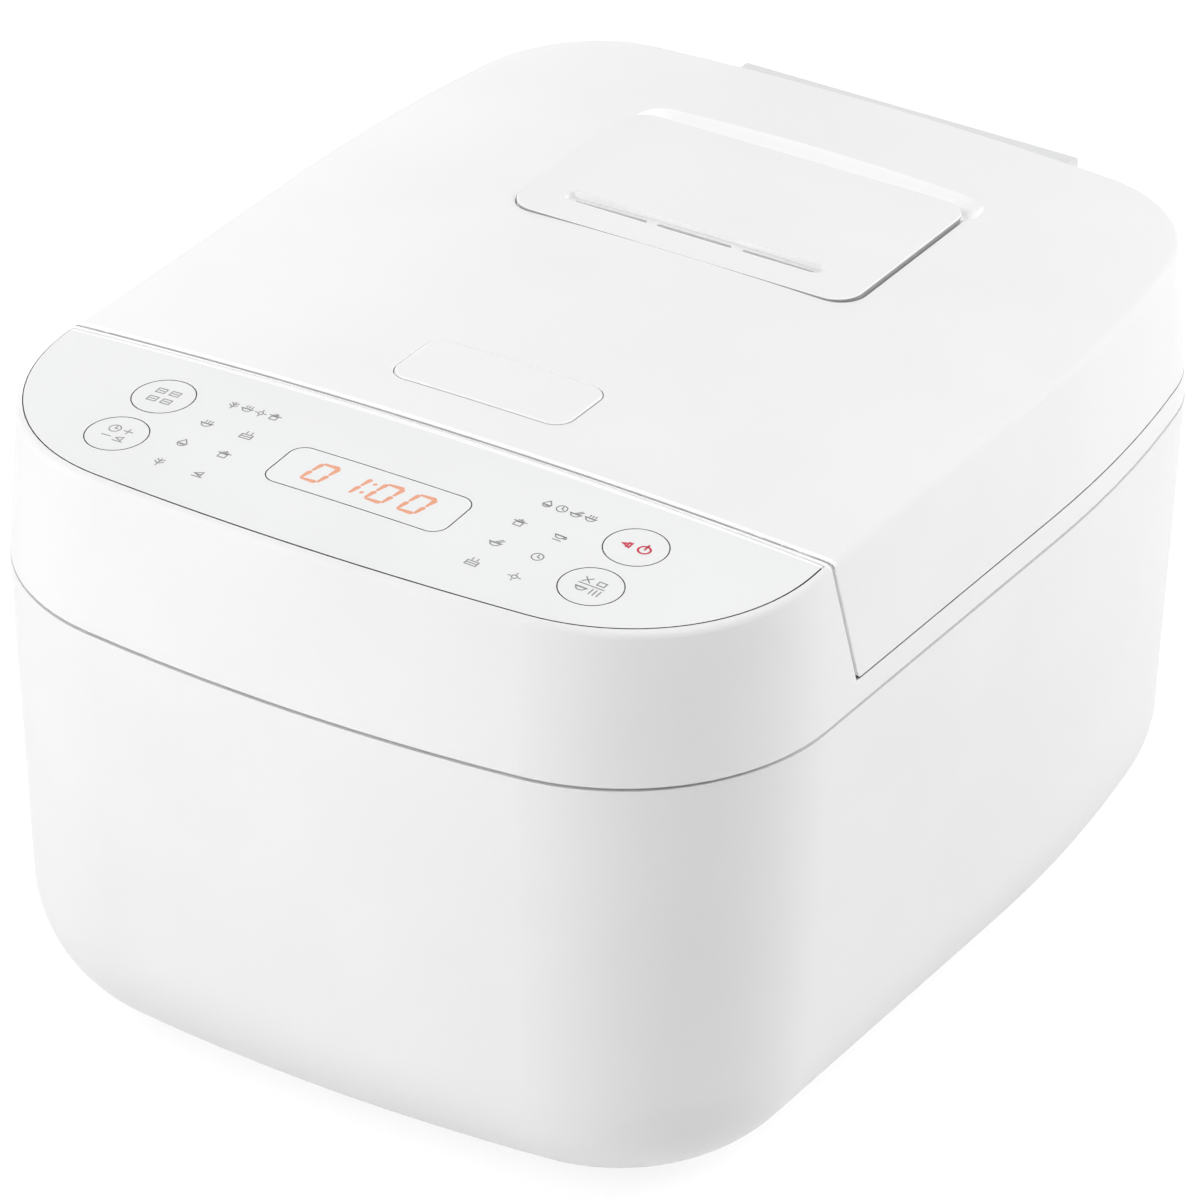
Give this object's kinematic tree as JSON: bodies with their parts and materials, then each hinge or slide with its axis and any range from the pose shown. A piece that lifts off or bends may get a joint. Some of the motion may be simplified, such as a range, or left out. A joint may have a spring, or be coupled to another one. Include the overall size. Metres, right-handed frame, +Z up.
{
  "type": "rice cooker",
  "caption": "Rounded rectangular electric rice cooker with a sloped control housing, hinged lid, lift-off steam vent, release button and a coated inner pot.",
  "frame": {"origin": "on the surface it stands on, under the middle of the overall box", "axes": "front faces -Y, +X is to the right for someone facing the front, +Z is up"},
  "size_m": [0.26, 0.334, 0.2014],
  "materials": {
    "body_white": "satin",
    "panel_white": "gloss",
    "lens_white": "gloss",
    "inner_plastic": "matte",
    "base_plastic": "matte",
    "dark_plastic": "matte",
    "rubber": "matte",
    "silicone": "matte",
    "aluminium": "satin",
    "pot_coat": "satin",
    "steel": "brushed",
    "brass": "satin",
    "board_green": "satin",
    "ceramic": "matte",
    "copper": "satin"
  },
  "bodies": {
    "base": {"outer_shell": "body_white", "base_plate": "base_plastic", "rubber_feet": "rubber", "base_screws": "steel", "top_collar": "body_white", "control_panel": "panel_white", "display_lens": "lens_white", "display_module": "dark_plastic", "control_board": "board_green", "board_screws": "steel", "key_switches": "dark_plastic", "heat_liner": "steel", "heating_plate": "aluminium", "heater_element": "steel", "heater_terminals": "ceramic", "sensor_spring": "steel", "sensor_bracket": "steel", "thermal_fuse": "brass", "hinge_pin": "steel", "hinge_springs": "steel", "power_board": "board_green", "power_screws": "steel", "transformer": "copper", "relay": "dark_plastic", "capacitor": "dark_plastic", "power_inlet": "dark_plastic", "inlet_pins": "brass", "inlet_screws": "steel", "mains_lead": "dark_plastic", "ribbon_cable": "silicone"},
    "lid": {"lid_cover": "body_white", "lid_frame": "inner_plastic", "lid_screws": "steel", "inner_lid_plate": "aluminium", "lid_seal": "silicone", "lid_probe": "steel", "vent_pocket": "inner_plastic", "button_springs": "steel", "latch_spring": "steel"},
    "steam_vent": {"vent_cover": "body_white", "vent_cup": "inner_plastic", "vent_seal": "silicone"},
    "release_button": {"release_button": "body_white"},
    "latch": {"latch": "inner_plastic"},
    "inner_pot": {"inner_pot": "pot_coat"},
    "bottom_sensor": {"sensor_cap": "aluminium"},
    "key_menu": {"key_menu": "panel_white"},
    "key_timer": {"key_timer": "panel_white"},
    "key_start": {"key_start": "panel_white"},
    "key_cancel": {"key_cancel": "panel_white"}
  },
  "joints": [
    {"name": "lid_hinge", "type": "hinge", "parent": "base", "child": "lid", "pos_m": [0, 0.1595, 0.177], "axis": [-1, 0, 0], "range_deg": [0, 85], "deforming": ["hinge_springs"]},
    {"name": "vent_lift", "type": "slide", "parent": "lid", "child": "steam_vent", "axis": [0, 0, 1], "range_m": [0, 0.06]},
    {"name": "button_press", "type": "slide", "parent": "lid", "child": "release_button", "axis": [0, 0, -1], "range_m": [0, 0.003], "stiffness_N_per_m": 600, "deforming": ["button_springs"]},
    {"name": "latch_slide", "type": "slide", "parent": "lid", "child": "latch", "axis": [0, 1, 0], "range_m": [0, 0.003], "stiffness_N_per_m": 150, "deforming": ["latch_spring"]},
    {"name": "pot_turn", "type": "hinge", "parent": "base", "child": "inner_pot", "pos_m": [0, 0.03675, 0.1], "axis": [0, 0, 1], "continuous": true},
    {"name": "sensor_press", "type": "slide", "parent": "base", "child": "bottom_sensor", "axis": [0, 0, -1], "range_m": [0, 0.003], "stiffness_N_per_m": 500, "deforming": ["sensor_spring"]},
    {"name": "key_menu_press", "type": "slide", "parent": "base", "child": "key_menu", "axis": [0, 0.0515, -0.9987], "range_m": [0, 0.0007], "stiffness_N_per_m": 900},
    {"name": "key_timer_press", "type": "slide", "parent": "base", "child": "key_timer", "axis": [0, 0.0515, -0.9987], "range_m": [0, 0.0007], "stiffness_N_per_m": 900},
    {"name": "key_start_press", "type": "slide", "parent": "base", "child": "key_start", "axis": [0, 0.0515, -0.9987], "range_m": [0, 0.0007], "stiffness_N_per_m": 900},
    {"name": "key_cancel_press", "type": "slide", "parent": "base", "child": "key_cancel", "axis": [0, 0.0515, -0.9987], "range_m": [0, 0.0007], "stiffness_N_per_m": 900}
  ],
  "couplings": [
    {"joint": "latch_slide", "follows": "button_press", "ratio": 1}
  ]
}
